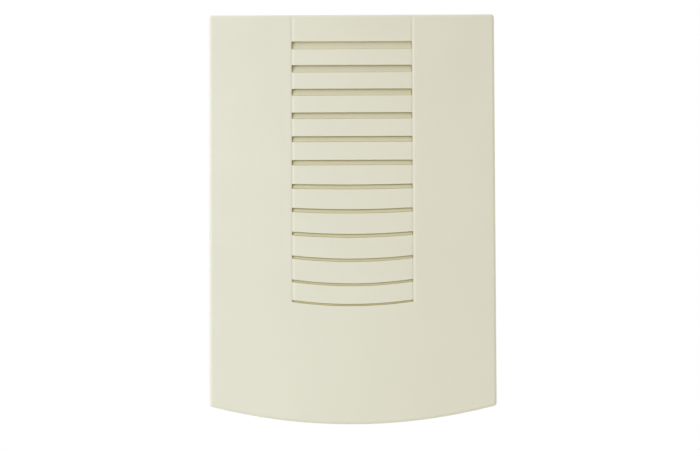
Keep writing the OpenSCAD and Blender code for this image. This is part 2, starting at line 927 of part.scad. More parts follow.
module terminal_clamps() {
    length = block_h - 2 * clamp_inset;
    low = block_top - block_h + clamp_inset;
    color(brass) on_wall() at_poles() difference() {
        union() {
            translate([-clamp_w / 2, low, clamp_mid - clamp_t / 2]) cube([clamp_w, length, clamp_t]);
            translate([-tail_w / 2, low + length - over, clamp_mid + clamp_t / 2 - tail_t])
                cube([tail_w, tail_l + over, tail_t]);
        }
        translate([0, low - over, clamp_mid])
            rotate([-90, 0, 0])
                cylinder(h = length + 2 * over, d = wire_d);
        translate([0, block_mid, clamp_mid])
            cylinder(h = clamp_t, d = terminal_screw_d + 2 * screw_gap);
    }
}

module terminal_screws() {
    seat = clamp_mid + clamp_t / 2 + 1.5;
    color(steel) on_wall() at_poles()
        translate([0, block_mid, seat])
            pan_screw(terminal_screw_d, seat - wire_floor, terminal_head_d, terminal_head_h);
}

module block_screw() {
    color(steel) on_wall()
        translate([0, block_mid, block_head_seat])
            pan_screw(screw_d, block_head_seat - over - slip, screw_head_d, screw_head_h);
}

// A lead from a solder pin down to its terminal's tail, as one smooth bend
lead_steps = 14;
lead_pull = 9;

function lead_point(side, t) =
    let (
        a = [side * pin_x, pin_tip, axis_front],
        d = [side * pole_pitch / 2, tail_tip, clamp_mid + clamp_t / 2 - tail_t / 2],
        b = a - [0, lead_pull, 0],
        c = d + [0, lead_pull, 0],
        s = 1 - t
    )
    s * s * s * a + 3 * s * s * t * b + 3 * s * t * t * c + t * t * t * d;

function lead_course(side, t) =
    let (e = 0.5 / lead_steps)
    t == 0 || t == 1
        ? [0, -1, 0]
        : lead_point(side, t + e) - lead_point(side, t - e);

module coil_lead(side) {
    loft([
        for (k = [0 : lead_steps])
            let (t = k / lead_steps)
            ring(lead_point(side, t), lead_course(side, t), [1, 0, 0], lead_d / 2, 8)
    ]);
}

module coil_lead_left() {
    color(lead_black) on_wall() coil_lead(-1);
}

module coil_lead_right() {
    color(lead_red) on_wall() coil_lead(1);
}

front_cover();
louvre_screen();
base_plate();
coil_bobbin();
coil_winding();
coil_tape();
coil_pins();
solenoid_yoke();
yoke_screws();
guide_tube();
plunger_core();
striker_tip_left();
striker_tip_right();
return_spring();
tone_plate_low();
tone_plate_high();
plate_grommets();
plate_washers();
plate_screws();
terminal_block();
terminal_clamps();
terminal_screws();
block_screw();
coil_lead_left();
coil_lead_right();
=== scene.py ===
"""Builds the looks of a wall-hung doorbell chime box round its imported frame.

A moulded cream cover with graded louvre slots lifts off straight to the front, over a solenoid
whose sprung plunger strikes two steel tone plates. Everything is in metres in the frame's own
axes: the wall is at y = 0, the front looks towards -Y and +Z is up.
"""

import math
from typing import NamedTuple

import bmesh
import bpy
from bpy.props import FloatProperty, FloatVectorProperty, IntProperty, PointerProperty
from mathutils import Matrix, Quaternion, Vector


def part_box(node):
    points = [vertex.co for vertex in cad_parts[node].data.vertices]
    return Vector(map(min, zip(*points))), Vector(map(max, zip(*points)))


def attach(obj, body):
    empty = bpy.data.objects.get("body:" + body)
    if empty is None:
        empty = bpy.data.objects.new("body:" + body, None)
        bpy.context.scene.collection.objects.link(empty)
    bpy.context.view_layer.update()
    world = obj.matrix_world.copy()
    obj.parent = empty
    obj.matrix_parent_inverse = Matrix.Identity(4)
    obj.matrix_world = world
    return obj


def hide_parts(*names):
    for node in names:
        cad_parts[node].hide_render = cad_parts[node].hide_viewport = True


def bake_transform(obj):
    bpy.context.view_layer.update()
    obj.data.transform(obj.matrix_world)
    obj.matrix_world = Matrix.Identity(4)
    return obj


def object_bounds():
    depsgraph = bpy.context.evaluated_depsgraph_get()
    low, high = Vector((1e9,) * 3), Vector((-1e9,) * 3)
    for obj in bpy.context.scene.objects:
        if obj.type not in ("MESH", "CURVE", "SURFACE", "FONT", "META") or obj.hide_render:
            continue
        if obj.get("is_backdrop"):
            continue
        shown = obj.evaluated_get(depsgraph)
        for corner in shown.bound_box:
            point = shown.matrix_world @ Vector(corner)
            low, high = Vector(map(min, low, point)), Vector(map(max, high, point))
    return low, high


bl_info = {
    "name": "Doorbell chime box",
    "version": (1, 0, 0),
    "blender": (4, 5, 0),
    "location": "3D View > Sidebar > Chime",
    "description": "Builds the looks of a wall-hung doorbell chime box round its packed frame",
    "category": "Object",
}

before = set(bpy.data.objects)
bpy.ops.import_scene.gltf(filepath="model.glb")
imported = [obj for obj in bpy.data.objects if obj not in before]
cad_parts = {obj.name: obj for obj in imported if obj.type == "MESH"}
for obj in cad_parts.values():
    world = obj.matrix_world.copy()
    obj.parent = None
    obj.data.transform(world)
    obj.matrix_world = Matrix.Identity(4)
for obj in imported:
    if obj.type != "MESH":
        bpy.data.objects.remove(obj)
CAD_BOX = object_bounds()

MM = 0.001
RIGHT = Vector((1, 0, 0))
INTO_WALL = Vector((0, 1, 0))
UP = Vector((0, 0, 1))
WELD_REACH = 0.002 * MM
FLAT_ANGLE = math.radians(0.5)
BROKEN_ANGLE = math.radians(40)
SHARP_ANGLE = math.radians(35)
COVER_LOW, COVER_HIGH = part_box("front_cover")
SCREEN_LOW, SCREEN_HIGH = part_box("louvre_screen")
TAPE_LOW, TAPE_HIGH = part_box("coil_tape")
WINDING_LOW, WINDING_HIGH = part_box("coil_winding")
SPRING_LOW, SPRING_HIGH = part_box("return_spring")


# Properties


def length(name, description, millimetres):
    """A size that the user can change; it is held in metres."""
    size = millimetres * MM
    return FloatProperty(
        name=name, description=description, default=size, subtype="DISTANCE", unit="LENGTH", precision=5
    )


def angular(name, description, degrees):
    """An angle that the user can change."""
    angle = math.radians(degrees)
    return FloatProperty(name=name, description=description, default=angle, subtype="ANGLE")


def share(name, description, default):
    """A plain number that the user can change."""
    return FloatProperty(name=name, description=description, default=default, precision=4)


def power(name, description, watts):
    """A lamp's power that the user can change."""
    return FloatProperty(name=name, description=description, default=watts, subtype="POWER", unit="POWER")


def tint(name, description, default):
    """A colour that the user can change."""
    return FloatVectorProperty(
        name=name, description=description, default=default, size=3, subtype="COLOR", min=0, max=1
    )


class CoverSizes(bpy.types.PropertyGroup):
    """Sizes of the moulded cover and its louvre grille."""

    width: length("Width", "Width of the cover at its rim", (COVER_HIGH.x - COVER_LOW.x) / MM)
    height: length("Height", "Height of the cover at its rim", (COVER_HIGH.z - COVER_LOW.z) / MM)
    depth: length("Depth", "Distance from the wall to the front face", -COVER_LOW.y / MM)
    rim_gap: length("Rim gap", "Distance from the wall to the cover's rim", -COVER_HIGH.y / MM)
    bow_drop: length("Bow drop", "How far the bowed lower edge drops below its corners", 8.6)
    side_wall: length("Side wall", "Thickness of the side walls", 2.2)
    front_wall: length("Front wall", "Thickness of the front wall", 2.0)
    slat_wall: length("Slat wall", "Thickness of the slats", (SCREEN_LOW.y - COVER_LOW.y) / MM)
    pocket_reach: length("Pocket reach", "How far the thin place reaches past the slots", 1.1)
    pocket_half: length("Pocket half", "Half the width of the thin place", SCREEN_HIGH.x / MM + 0.1)
    draft: length("Draft", "How much each side leans in from the rim to the front", 0.5)
    corner_radius: length("Corner radius", "Radius of the outline's corners", 2.0)
    edge_radius: length("Edge radius", "Radius that rounds the front edge", 1.4)
    rim_radius: length("Rim radius", "Radius that rounds the rim's edges", 0.3)
    grille_width: length("Grille width", "Distance between the two upright grooves", 55.6)
    groove_width: length("Groove width", "Width of a groove over its rounded edges", 1.6)
    groove_depth: length("Groove depth", "Depth of a groove", 0.18)
    groove_shift: length("Groove shift", "How far right of the slots' ends the grooves lie", 0.3)
    end_ease: length("End ease", "How far from a slot's end the slats' eased edges run out", 1.1)
    slot_count: IntProperty(name="Slots", description="Number of slots", default=12, min=3)
    straight_slots: IntProperty(name="Straight slots", description="Slots above the bowed ones", default=6)
    first_slot: length("First slot", "Distance from the top edge to the first slot", 12.9)
    slot_pitch: length("Slot pitch", "Distance from one slot to the next", 11.0)
    last_pitch: length("Last pitch", "Distance to the last slot", 9.45)
    slot_height: length("Slot height", "Height of the first slot", 3.58)
    slot_step: length("Slot step", "How much less high each slot is than the one above", 0.245)
    sag_step: length("Sag step", "How much deeper each bowed slot bows than the one above", 0.4)
    slat_reach: length("Slat reach", "How far down a slat's upper edge is eased", 0.45)
    slat_fall: length("Slat fall", "How deep a slat's upper edge is eased", 0.3)
    lip_radius: length("Lip radius", "Radius that rounds the slats' lower edges", 0.15)
    peg_width: length("Peg width", "Diameter of the pegs that hold the louvre screen", 2.4)
    peg_head: length("Peg head", "Diameter of the pegs' staked heads", 3.8)
    peg_crown: length("Peg crown", "Height of the pegs' staked heads", 0.8)
    louvre_edge: length("Louvre edge", "Width of the louvre screen's broken edges", 0.06)
    rail_width: length("Rail width", "Width of the louvre screen's rails", 6.0)
    stop_drop: length("Stop drop", "Distance of the stops from the top and the lowest point", 35.0)
    stop_foot: length("Stop foot", "Distance from the wall to the stops", 12.2)
    stop_height: length("Stop height", "Height of a stop along the side wall", 14.0)
    stop_reach: length("Stop reach", "How far a stop reaches in from the middle of the wall", 3.4)
    stop_width: length("Stop width", "Thickness of a stop", 2.0)


class MechanismSizes(bpy.types.PropertyGroup):
    """Sizes of the small wound and bent pieces of the mechanism."""

    spring_wire: length("Spring wire", "Diameter of the return spring's wire", 0.7)
    spring_turns: share("Spring turns", "Turns of the return spring, closed ends included", 6)
    closed_turns: share("Closed turns", "Closed turns at each end of the spring", 0.75)
    lead_width: length("Lead width", "Diameter of the coil leads over their insulation", 1.8)
    lead_core: length("Lead core", "Diameter of a lead's tinned strands", 0.9)
    bare_end: length("Bare end", "Length of bare strands at each end of a lead", 1.6)
    tape_width: length("Tape width", "Width of the coil's wrapping tape", 12)
    tape_step: length("Tape step", "Height of the step at the tape's edges", 0.09)
    tape_lap: length("Tape lap", "How far each turn of tape lies over the one before", 1.0)
    lead_pull: length("Lead pull", "How hard each end of a lead pulls its bend straight", 9.0)
    moulded_edge: length("Moulded edge", "Broken edges of moulded and bent pieces", 0.2)
    plate_edge: length("Plate edge", "Broken edges of the tone plates", 0.25)
    tip_edge: length("Tip edge", "Broken edges of the striker tips", 0.15)
    hanger_edge: length("Hanger edge", "Broken edges of the plates' washers and screws", 0.12)
    terminal_edge: length("Terminal edge", "Broken edges of the clamps and the block's screws", 0.1)


class FinishColours(bpy.types.PropertyGroup):
    """Colours of the finishes."""

    cream: tint("Cream", "Moulded cover", (0.91, 0.875, 0.66))
    # Painted shade: the slots' walls are carried towards this deeper, yellower colour, standing in for the
    # shade in the slots
    deep: tint("Deep", "Walls of the cover's slots", (0.90, 0.78, 0.28))
    # Darker and yellower than the cream: painted shade for the slots' floors, which the screen forms
    screen: tint("Screen", "Louvre screen behind the slots, at its top", (0.83, 0.778, 0.555))
    # Painted shade: the screen's colour deepens to this towards its foot, where the lower slots are
    # shadier
    screen_foot: tint("Screen foot", "Louvre screen at its foot", (0.83, 0.768, 0.45))
    ivory: tint("Ivory", "Base plate", (0.70, 0.68, 0.56))
    nylon: tint("Nylon", "Bobbin and striker tips", (0.80, 0.79, 0.72))
    tape: tint("Tape", "Amber film round the coil", (0.62, 0.36, 0.06))
    copper: tint("Copper", "Enamelled winding wire", (0.50, 0.17, 0.06))
    steel: tint("Steel", "Tone plates and plunger core", (0.60, 0.60, 0.60))
    zinc: tint("Zinc", "Plated yoke, screws and washers", (0.58, 0.59, 0.60))
    spring: tint("Spring", "Spring wire", (0.46, 0.46, 0.47))
    brass: tint("Brass", "Guide tube and clamps", (0.74, 0.53, 0.22))
    rubber: tint("Rubber", "Grommets", (0.022, 0.022, 0.024))
    grey: tint("Grey", "Terminal block", (0.60, 0.60, 0.57))
    red: tint("Red", "Insulation of the right lead", (0.45, 0.022, 0.018))
    black: tint("Black", "Insulation of the left lead", (0.018, 0.018, 0.020))
    floor: tint("Floor", "Plain floor", (0.84, 0.84, 0.84))


class StageSettings(bpy.types.PropertyGroup):
    """Camera, lights and floor."""

    camera_distance: length("Camera distance", "From the front face to the camera", 750)
    camera_rise: angular("Camera rise", "Camera's height as an angle", -2.0)
    camera_roll: angular("Camera roll", "Turn about the line of sight", -0.24)
    frame_width: length("Frame width", "Width of the picture at the front face", 322.4)
    aim_right: length("Aim right", "How far right of the middle the camera aims", -1.1)
    aim_up: length("Aim up", "How far above the middle the camera aims", -2.95)
    front_light: share("Front light", "Light from all over the room in front", 0.445)
    back_light: share("Back light", "Light from all over the white wall behind", 0.8)
    top_watts: power("Top", "Power of the lamp high up in front", 1.47)
    key_watts: power("Key", "Power of the far lamp to the upper left", 1.02)
    side_watts: power("Side", "Power of the near lamp to the left", 0.685)
    rim_watts: power("Rim", "Power of the lamp to the right of the box", 0.15)
    spread: angular("Spread", "Angle of the near lamps' beams", 110)
    front_tint: tint("Front tint", "Colour of the light from the room in front", (1.0, 0.966, 0.80))
    back_tint: tint("Back tint", "Colour of the light from the wall behind", (1.0, 0.99, 0.95))
    lamp_light: tint("Lamp light", "Colour of the lamps", (0.665, 0.725, 1.0))
    floor_drop: length("Floor drop", "From the middle of the box down to the floor", 170)
    floor_radius: length("Floor radius", "Radius of the floor", 480)


# Mesh forms


def spaced(start, end, cells):
    """Evenly spaced values from start to end."""
    return [start + (end - start) * k / cells for k in range(cells + 1)]


def smooth(t):
    """An ease from 0 to 1."""
    t = min(max(t, 0.0), 1.0)
    return t * t * (3 - 2 * t)


def arc(start, depth, across, deep, steps):
    """Pairs round a quarter turn, from (start + across, depth) to (start, depth + deep)."""
    turns = spaced(0, math.pi / 2, steps)
    return [(start + across * (1 - math.sin(a)), depth + deep * (1 - math.cos(a))) for a in turns]


class Form:
    """The points and faces of one mesh while it is put together."""

    def __init__(self):
        self.points = []
        self.faces = []
        # Points on the slots' walls, which get painted shade
        self.walls = set()

    def add(self, points):
        """Adds points and returns their numbers."""
        first = len(self.points)
        self.points.extend(points)
        return list(range(first, len(self.points)))

    def join(self, a, b):
        """Faces between two closed rows of points; a repeated point makes a triangle."""
        for k in range(len(a)):
            corners = [a[k - 1], a[k], b[k], b[k - 1]]
            face = [c for n, c in enumerate(corners) if c != corners[n - 1]]
            if len(face) > 2:
                self.faces.append(face)

    def loft(self, rings, hoop=False):
        """A solid through rings of equally many points; a hoop comes back to its first ring."""
        numbers = [self.add(ring) for ring in rings]
        for a, b in zip(numbers, numbers[1:]):
            self.join(a, b)
        if hoop:
            self.join(numbers[-1], numbers[0])
        else:
            self.faces += [numbers[0], numbers[-1]]

    def make(self, name, finish, sharp=SHARP_ANGLE):
        """The finished mesh object."""
        mesh = bpy.data.meshes.new(name)
        mesh.from_pydata(self.points, [], self.faces)
        shape = bmesh.new()
        shape.from_mesh(mesh)
        bmesh.ops.recalc_face_normals(shape, faces=shape.faces)
        for face in shape.faces:
            face.smooth = True
        shape.to_mesh(mesh)
        shape.free()
        mesh.set_sharp_from_angle(angle=sharp)
        mesh.materials.append(material(finish))
        # Marks the slots' walls with a shade of 1, which the material paints as shade
        if self.walls:
            shade = mesh.attributes.new("wall", "FLOAT", "POINT")
            for number in self.walls:
                shade.data[number].value = 1.0
        piece = bpy.data.objects.new(name, mesh)
        bpy.context.scene.collection.objects.link(piece)
        return piece


def circle(middle, along, radius, sides, start=None):
    """Points of a circle square to a direction."""
    along = along.normalized()
    across = start or along.orthogonal()
    across = (across - along * across.dot(along)).normalized()
    other = along.cross(across)
    turn = 2 * math.pi / sides
    return [
        middle + radius * (math.cos(turn * k) * across + math.sin(turn * k) * other) for k in range(sides)
    ]


def tube_rings(path, radius, sides, start):
    """Circles along a path, each turned as little as can be from the one before."""
    rings = []
    across = start
    for k, point in enumerate(path):
        along = path[min(k + 1, len(path) - 1)] - path[max(k - 1, 0)]
        rings.append(circle(point, along, radius, sides, across))
        across = rings[-1][0] - point
    return rings


def turned(base, along, profile, sides):
    """Rings of a turned form: the profile holds (radius, distance along) pairs."""
    along = along.normalized()
    return [circle(base + along * reach, along, radius, sides) for radius, reach in profile]


# Materials


def plug(node, **inputs):
    """Gives a node's inputs, named with _ for a space, values or links from other nodes."""
    for name, given in inputs.items():
        socket = node.inputs[name.replace("_", " ")]
        if isinstance(given, bpy.types.NodeSocket):
            node.id_data.links.new(given, socket)
        else:
            socket.default_value = given
    return node


def add_node(tree, kind, **inputs):
    """A new shader node with its inputs."""
    return plug(tree.nodes.new("ShaderNode" + kind), **inputs)


def mixed(tree, share_socket, first, second):
    """A shader between two others."""
    node = add_node(tree, "MixShader", Fac=share_socket)
    tree.links.new(first, node.inputs[1])
    tree.links.new(second, node.inputs[2])
    return node.outputs["Shader"]


class Finish:
    """A node material while it is put together, with noise in the piece's own metres."""

    def __init__(self, name):
        self.material = bpy.data.materials.new(name)
        self.material.use_nodes = True
        self.tree = self.material.node_tree
        self.shader = self.tree.nodes["Principled BSDF"]
        self.place = self.add("TexCoord").outputs["Object"]

    def add(self, kind, **inputs):
        """A new node of this material."""
        return add_node(self.tree, kind, **inputs)

    def set(self, **inputs):
        """Gives the shader its inputs."""
        plug(self.shader, **inputs)

    def stretched(self, stretch):
        """The piece's coordinates, stretched along each axis."""
        return self.add("Mapping", Vector=self.place, Scale=stretch).outputs["Vector"]

    def noise(self, scale, detail=2.0, stretch=None, roughness=0.5):
        """Noise with this many features to the metre."""
        place = self.stretched(stretch) if stretch else self.place
        node = self.add("TexNoise", Vector=place, Scale=scale, Detail=detail, Roughness=roughness)
        return node.outputs["Fac"]

    def cells(self, scale):
        """Colour that changes from grain to grain."""
        return self.add("TexVoronoi", Vector=self.place, Scale=scale).outputs["Color"]

    def bands(self, scale, distortion):
        """Even bands across the X axis."""
        return self.add("TexWave", Vector=self.place, Scale=scale, Distortion=distortion).outputs["Fac"]

    def ramp(self, source, dark, light, start=0.3, end=0.7):
        """A colour between two others, by a value."""
        node = self.add("ValToRGB", Fac=source)
        low, high = node.color_ramp.elements
        low.position, high.position = start, end
        low.color = (*dark, 1)
        high.color = (*light, 1)
        return node.outputs["Color"]

    def span(self, source, low, high, start=0.3, end=0.7):
        """A value carried from one range onto another."""
        node = self.add("MapRange", Value=source, From_Min=start, From_Max=end, To_Min=low, To_Max=high)
        return node.outputs["Result"]

    def colour(self, source, base, spread):
        """The base colour, lighter and darker by a share."""
        dark = [c * (1 - spread) for c in base]
        light = [min(c * (1 + spread), 1) for c in base]
        self.set(Base_Color=self.ramp(source, dark, light))

    def painted(self, name):
        """A shade that the mesh itself carries."""
        node = self.add("Attribute")
        node.attribute_name = name
        return node.outputs["Fac"]

    def height(self, start, end):
        """A shade that grows from 0 at one height to 1 at another."""
        axes = self.add("SeparateXYZ", Vector=self.place)
        return self.span(axes.outputs["Z"], 0, 1, start, end)

    def paint_shade(self, shade, deep):
        """Paints shade: carries the base colour over to a deeper one by a shade from 0 to 1."""
        base = self.shader.inputs["Base Color"].links[0].from_socket
        mix = self.add("MixRGB", Fac=shade, Color1=base, Color2=(*deep, 1))
        self.set(Base_Color=mix.outputs["Color"])

    def rough(self, source, low, high):
        """Roughness between two values."""
        self.set(Roughness=self.span(source, low, high))

    def bump(self, source, strength, distance):
        """Fine relief."""
        node = self.add("Bump", Height=source, Strength=strength, Distance=distance)
        self.set(Normal=node.outputs["Normal"])


def moulded_plastic(finish, base):
    """Injection-moulded plastic with a fine spark-eroded grain."""
    grain = finish.noise(2400, detail=3)
    finish.colour(finish.noise(26, detail=3), base, 0.012)
    finish.rough(grain, 0.46, 0.58)
    finish.bump(grain, 0.06, 0.1 * MM)
    finish.set(Specular_IOR_Level=0.25)


def slot_shaded_plastic(finish, base, deep):
    """Moulded plastic with painted shade: deeper in colour on the walls of its slots, where shade falls.
    """
    moulded_plastic(finish, base)
    finish.paint_shade(finish.painted("wall"), deep)


def louvre_shaded_plastic(finish, base, foot):
    """Moulded plastic with painted shade: its colour deepens towards the screen's foot, where the slots
    are lower and shadier.
    """
    moulded_plastic(finish, base)
    finish.paint_shade(finish.height(SCREEN_HIGH.z, SCREEN_LOW.z), foot)


def natural_nylon(finish, base):
    """Uncoloured nylon, slightly clear, with faint flow marks."""
    flow = finish.noise(140, detail=3, stretch=(0.4, 1, 1))
    finish.colour(flow, base, 0.03)
    finish.rough(flow, 0.32, 0.44)
    finish.bump(finish.noise(1500), 0.05, 0.1 * MM)
    finish.set(Subsurface_Weight=0.12, Subsurface_Radius=(0.9, 0.8, 0.6), Subsurface_Scale=1 * MM)


def rolled_steel(finish, base, grain_axis):
    """Bright rolled steel with a fine grain along one axis."""
    stretch = [900.0, 900.0, 900.0]
    stretch[grain_axis] = 9.0
    streaks = finish.noise(1, detail=4, stretch=stretch, roughness=0.6)
    finish.colour(finish.noise(60, detail=4), base, 0.06)
    finish.rough(streaks, 0.22, 0.36)
    finish.bump(streaks, 0.10, 0.05 * MM)
    finish.set(Metallic=1.0)


def zinc_plate(finish, base):
    """Zinc plating: a dull bright coat with small soft spangles."""
    finish.colour(finish.cells(420), base, 0.07)
    finish.rough(finish.noise(240, detail=4), 0.28, 0.46)
    finish.bump(finish.noise(2200), 0.06, 0.05 * MM)
    finish.set(Metallic=1.0)


def drawn_wire(finish, base):
    """Drawn spring wire."""
    marks = finish.noise(1700, detail=3)
    finish.colour(finish.noise(200), base, 0.10)
    finish.rough(marks, 0.24, 0.40)
    finish.bump(marks, 0.08, 0.05 * MM)
    finish.set(Metallic=1.0)


def turned_brass(finish, base):
    """Brass with fine turning marks and a little tarnish."""
    tarnish = finish.noise(150, detail=5)
    finish.colour(tarnish, base, 0.12)
    finish.rough(tarnish, 0.20, 0.40)
    finish.bump(finish.noise(1, stretch=(4000, 150, 150)), 0.08, 0.05 * MM)
    finish.set(Metallic=1.0)


def soft_rubber(finish, base):
    """Moulded rubber with a dusty bloom."""
    bloom = finish.noise(380, detail=4)
    finish.colour(bloom, base, 0.25)
    finish.rough(bloom, 0.62, 0.80)
    finish.bump(finish.noise(2600), 0.10, 0.1 * MM)


def amber_film(finish, base):
    """Polyester tape over the turns of the winding, which show through as fine bands."""
    turns = finish.bands(340, 0.6)
    finish.set(Base_Color=finish.ramp(turns, [c * 0.72 for c in base], base, 0.1, 0.9))
    finish.rough(finish.noise(300, detail=3), 0.16, 0.28)
    finish.bump(turns, 0.12, 0.05 * MM)
    finish.set(Coat_Weight=0.5, Coat_Roughness=0.1)


def enamelled_wire(finish, base):
    """Close turns of enamelled copper."""
    turns = finish.bands(560, 0.3)
    finish.colour(finish.noise(300, detail=3), base, 0.15)
    finish.rough(turns, 0.22, 0.34)
    finish.bump(turns, 0.5, 0.1 * MM)
    finish.set(Metallic=0.6)


def wire_cover(finish, base):
    """Smooth insulation."""
    haze = finish.noise(500, detail=3)
    finish.colour(haze, base, 0.10)
    finish.rough(haze, 0.30, 0.42)
    finish.bump(finish.noise(900), 0.05, 0.1 * MM)


def pale_floor(finish, base):
    """A plain floor that fades out towards its edge."""
    radius = bpy.context.scene.chime_stage.floor_radius
    finish.colour(finish.noise(30, detail=3), base, 0.01)
    finish.rough(finish.noise(200), 0.7, 0.8)
    finish.bump(finish.noise(600), 0.05, 0.1 * MM)
    inwards = finish.add("TexGradient", Vector=finish.stretched((1 / radius,) * 3))
    inwards.gradient_type = "SPHERICAL"
    fade = finish.add("MapRange", Value=inwards.outputs["Fac"], From_Max=0.6)
    fade.interpolation_type = "SMOOTHSTEP"
    clear = finish.add("BsdfTransparent").outputs["BSDF"]
    seen = mixed(finish.tree, fade.outputs["Result"], clear, finish.shader.outputs["BSDF"])
    plug(finish.tree.nodes["Material Output"], Surface=seen)


# Each material's maker and what it takes, colours by their names
FINISHES = {
    # The cream plastic paints shade on its slots' walls; the screen's plastic is darker as painted shade
    # and deepens towards its foot
    "cream_plastic": (slot_shaded_plastic, "cream", "deep"),
    "screen_plastic": (louvre_shaded_plastic, "screen", "screen_foot"),
    "ivory_plastic": (moulded_plastic, "ivory"),
    "grey_plastic": (moulded_plastic, "grey"),
    "natural_nylon": (natural_nylon, "nylon"),
    "core_steel": (rolled_steel, "steel", 0),
    "plate_steel": (rolled_steel, "steel", 2),
    "zinc_plate": (zinc_plate, "zinc"),
    "bright_tin": (zinc_plate, "zinc"),
    "drawn_wire": (drawn_wire, "spring"),
    "turned_brass": (turned_brass, "brass"),
    "soft_rubber": (soft_rubber, "rubber"),
    "amber_film": (amber_film, "tape"),
    "enamelled_wire": (enamelled_wire, "copper"),
    "left_insulation": (wire_cover, "black"),
    "right_insulation": (wire_cover, "red"),
    "pale_floor": (pale_floor, "floor"),
}


def material(name):
    """A material of the table, made once and shared by the pieces that ask for it."""
    if name not in bpy.data.materials:
        maker, *details = FINISHES[name]
        colours = bpy.context.scene.chime_colours
        maker(Finish(name), *(getattr(colours, d) if isinstance(d, str) else d for d in details))
    return bpy.data.materials[name]


# Pieces


def settle(piece, body, slot, *nodes):
    """Rides a new piece on its body and puts it in the place of CAD nodes; the slot is not used."""
    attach(piece, body)
    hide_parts(*nodes)


def dress(finish, *nodes, bevel=0.0):
    """Gives CAD nodes a material and, where asked, softly broken edges."""
    for name in nodes:
        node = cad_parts[name]
        node.material_slots[0].material = material(finish)
        if bevel:
            weld = node.modifiers.new("weld", "WELD")
            weld.merge_threshold = WELD_REACH
            flat = node.modifiers.new("flat", "DECIMATE")
            flat.decimate_type = "DISSOLVE"
            flat.angle_limit = FLAT_ANGLE
            edge = node.modifiers.new("edge", "BEVEL")
            edge.width = bevel
            edge.segments = 2
            edge.limit_method = "ANGLE"
            edge.angle_limit = BROKEN_ANGLE
            even = node.modifiers.new("even", "WEIGHTED_NORMAL")
            even.weight = 100


class Row(NamedTuple):
    """A line across the cover's face, from the left edge to the right."""

    up: float
    sag: float = 0.0
    fall: float = 0.0
    groove: float = 1.0
    bow: float = 0.0


